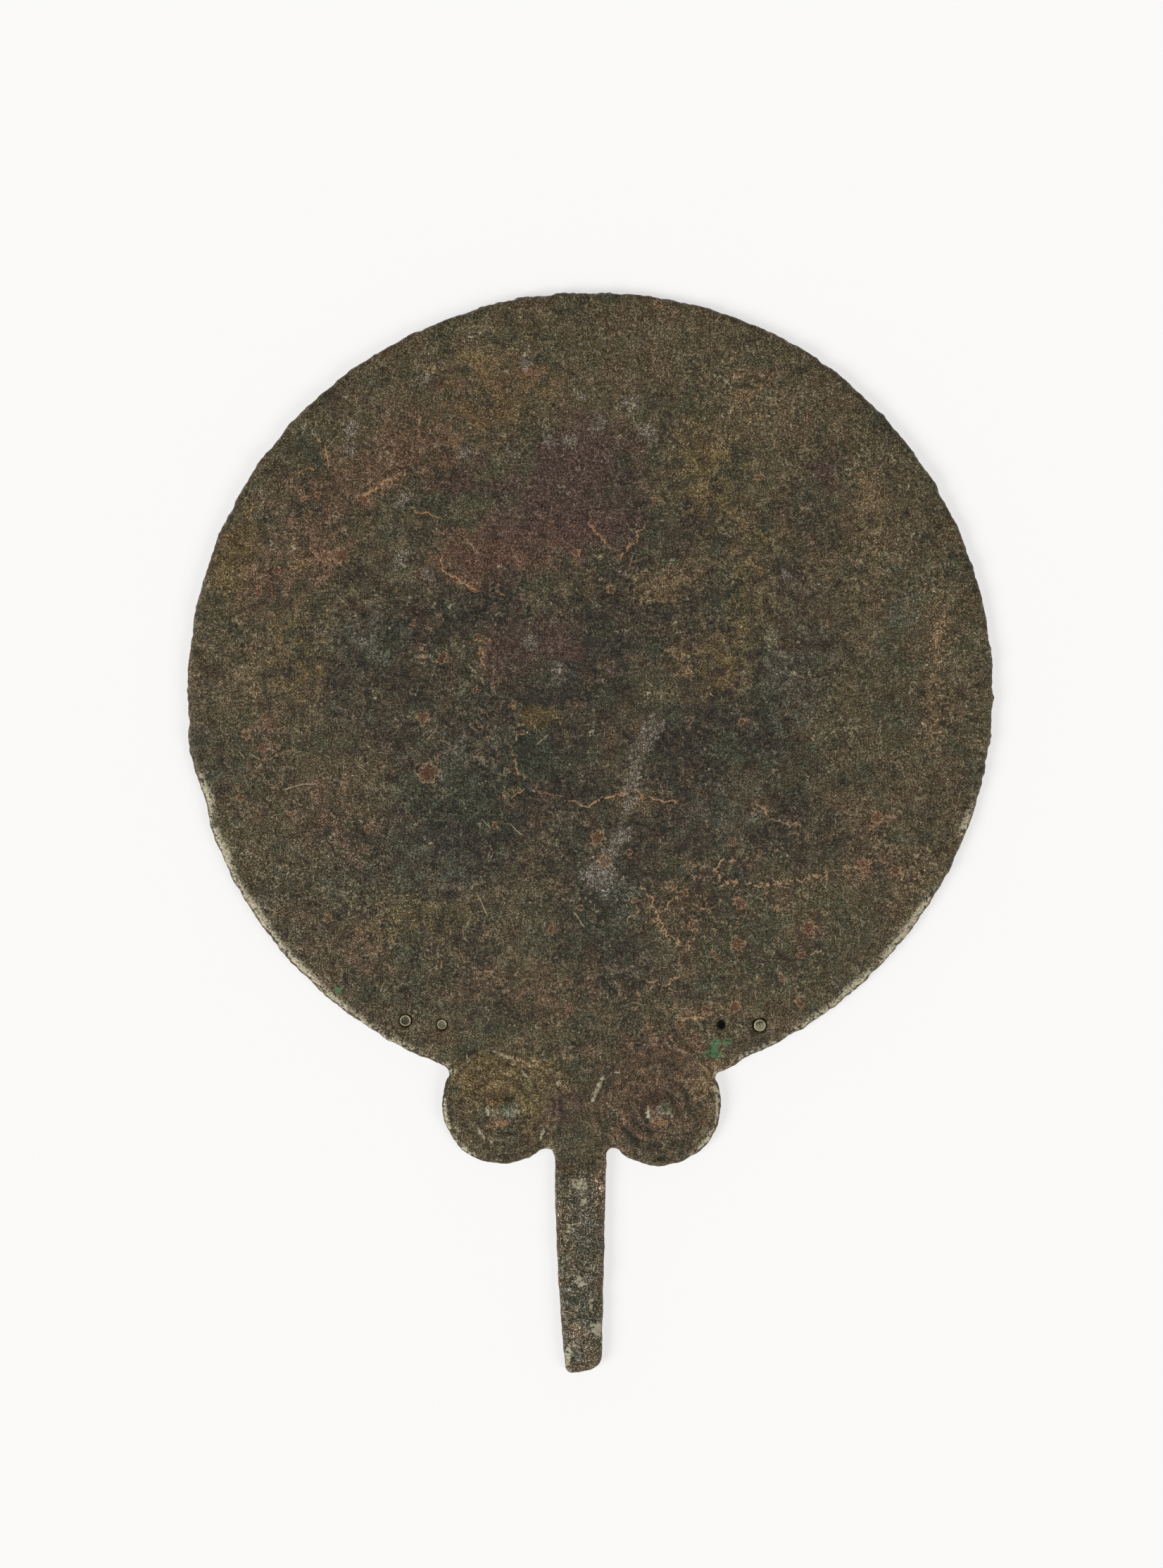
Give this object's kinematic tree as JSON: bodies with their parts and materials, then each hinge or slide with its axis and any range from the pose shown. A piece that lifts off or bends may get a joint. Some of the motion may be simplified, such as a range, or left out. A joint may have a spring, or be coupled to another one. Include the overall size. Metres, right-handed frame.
{
  "type": "bronze mirror",
  "caption": "Ancient cast bronze hand mirror: a round patinated plate with two dished, knobbed bosses and a flat tang for a lost handle.",
  "frame": {"origin": "on the surface the mirror lies on, under the middle of its overall outline", "axes": "+Y from the end of the tang to the top of the plate, +Z out of the worked face, away from the surface it lies on, +X to the right seen from above"},
  "size_m": [0.1654, 0.2216, 0.0039],
  "materials": {
    "patinated_bronze": "dark olive-brown corroded bronze with green, red and violet patches, dull to satin",
    "rivet_bronze": "paler worn bronze with grey-green tarnish"
  },
  "bodies": {
    "root": {"mirror_body": "patinated_bronze", "rivet_left_outer": "rivet_bronze", "rivet_left_inner": "rivet_bronze", "rivet_right_outer": "rivet_bronze"}
  },
  "joints": []
}
